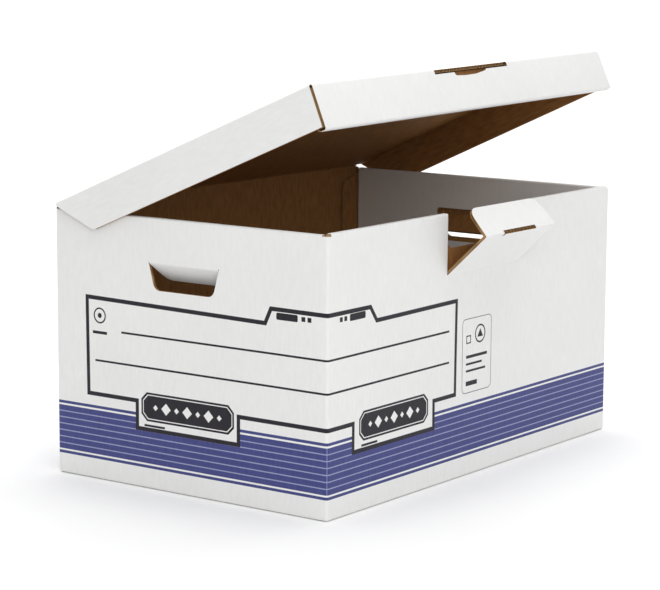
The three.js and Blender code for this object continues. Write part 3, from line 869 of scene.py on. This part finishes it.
for sd in (-1, 1):
    nm = "left" if sd < 0 else "right"
    xz = lambda y, x, z, sd=sd: (sd * (W / 2 - T + x), y, z)
    arc = [(T * math.cos(t), HOLE_TOP - T * math.sin(t)) for t in np.linspace(0, HANDLE, 8)]
    hc, hs = math.cos(HANDLE), math.sin(HANDLE)
    tail = (T * hc - 0.42 * hs, HOLE_TOP - T * hs - 0.42 * hc)
    handle_crease[nm] = ribbon(nm + "_handle_crease", [(T, HOLE_TOP + 0.03)] + arc + [tail], xz, HOLE_Y - HOLE_WT / 2 + 1.0, HOLE_Y + HOLE_WT / 2 - 1.0, "white", -1.0, 0.3)

# ------------------------------------------------------- onto the moving frame
for o in [body_liner] + body_parts:
    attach(o, "body")
for o in [lid_liner] + lid_parts:
    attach(o, "lid")
for o in [flap_liner] + flap_parts:
    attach(o, "lock_flap")
for name, made in handle.items():
    for o in made:
        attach(o, name + "_handle_flap")
    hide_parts(name + "_handle_flap")
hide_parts("body")
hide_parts("lid")
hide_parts("lock_flap")

m = lambda y, z: (0.0, y / 1000.0, z / 1000.0)
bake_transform(lid_crease, "body", "lid", start=m(YB, 289.8), end=m(*lid_pt(1.2, r)))
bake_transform(lid_crease_in, "body", "lid", start=m(YB - T, 288.6), end=m(*lid_pt(2.6, -r)))
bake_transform(flap_crease, "body", "lock_flap", start=m(YF, CREASE), end=m(*fp(0, 0.25)))
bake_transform(flap_crease_in, "body", "lock_flap", start=m(YF + T, CREASE), end=m(*fp(T, 0.1)))
for sd in (-1, 1):
    nm = "left" if sd < 0 else "right"
    k = lambda x, z: (sd * (W / 2 - T + x) / 1000.0, 0.0, z / 1000.0)
    hc, hs = math.cos(HANDLE), math.sin(HANDLE)
    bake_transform(handle_crease[nm], "body", nm + "_handle_flap", start=k(T, HOLE_TOP), end=k(T * hc - 0.1 * hs, HOLE_TOP - T * hs - 0.1 * hc))

# ------------------------------------------------------------ floor and light
def studio():
    """A pale sweep: the floor runs back and curves up behind."""
    fwd = np.array((math.cos(math.radians(36.3)), math.sin(math.radians(36.3))))
    side = np.array((-fwd[1], fwd[0]))
    prof = [(-6.0, 0.0), (0.0, 0.0), (3.0, 0.0)]
    for k in range(1, 13):
        t = math.pi / 2 * k / 12
        prof.append((3.0 + 2.0 * math.sin(t), 2.0 - 2.0 * math.cos(t)))
    prof.append((5.0, 7.0))
    verts, faces = [], []
    for j in (-8.0, 0.0, 8.0):
        for a, z in prof:
            q = fwd * a + side * j
            verts.append((q[0], q[1], z - 0.0003))
    n = len(prof)
    for j in range(2):
        for i in range(n - 1):
            faces.append((j * n + i, j * n + i + 1, (j + 1) * n + i + 1, (j + 1) * n + i))
    me = bpy.data.meshes.new("floor")
    me.from_pydata(verts, [], faces)
    me.polygons.foreach_set("use_smooth", np.ones(len(me.polygons), bool))
    mat = bpy.data.materials.new("floor")
    mat.use_nodes = True
    b = mat.node_tree.nodes["Principled BSDF"]
    b.inputs["Base Color"].default_value = (0.96, 0.96, 0.96, 1)
    b.inputs["Roughness"].default_value = 0.9
    b.inputs["Specular IOR Level"].default_value = 0.1
    me.materials.append(mat)
    o = bpy.data.objects.new("floor", me)
    bpy.context.scene.collection.objects.link(o)


studio()


def softbox(name, at, to, size, power):
    d = bpy.data.lights.new(name, "AREA")
    d.shape = "RECTANGLE"
    d.size, d.size_y = size
    d.energy = power
    o = bpy.data.objects.new(name, d)
    o.location = at
    o.rotation_euler = (Vector(to) - Vector(at)).to_track_quat("-Z", "Y").to_euler()
    bpy.context.scene.collection.objects.link(o)


softbox("above", (-0.3, -0.4, 3.2), (0, 0, 0.1), (3.2, 3.2), 46)
softbox("key", (-1.55, -1.6, 1.15), (-0.15, -0.15, 0.15), (1.1, 1.1), 11)
softbox("sweep", (0.9, 0.7, 3.6), (4.2, 3.1, 1.2), (5.0, 2.0), 130)
world = bpy.data.worlds.new("studio")
world.use_nodes = True
world.node_tree.nodes["Background"].inputs[0].default_value = (1, 1, 1, 1)
world.node_tree.nodes["Background"].inputs[1].default_value = 0.53
bpy.context.scene.world = world

# -------------------------------------------------------------------- camera
yaw, pitch, roll = math.radians(36.301), math.radians(9.038), math.radians(0.264)
d = np.array((math.cos(yaw) * math.cos(pitch), math.sin(yaw) * math.cos(pitch), -math.sin(pitch)))
rt = np.array((math.sin(yaw), -math.cos(yaw), 0.0))
upv = np.cross(rt, d)
r2 = math.cos(roll) * rt + math.sin(roll) * upv
u2 = -math.sin(roll) * rt + math.cos(roll) * upv
cam = bpy.data.cameras.new("camera")
cam.sensor_fit = "HORIZONTAL"
cam.sensor_width = 36.0
cam.lens = 127.37
cam.clip_end = 50.0
co = bpy.data.objects.new("camera", cam)
mw = np.eye(4)
mw[:3, 0], mw[:3, 1], mw[:3, 2] = r2, u2, -d
mw[:3, 3] = (-2.0903, -1.5165, 0.5872)
co.matrix_world = Matrix(mw.tolist())
bpy.context.scene.collection.objects.link(co)
bpy.context.scene.camera = co
bpy.context.scene.view_settings.view_transform = "Standard"
bpy.context.scene.view_settings.look = "None"
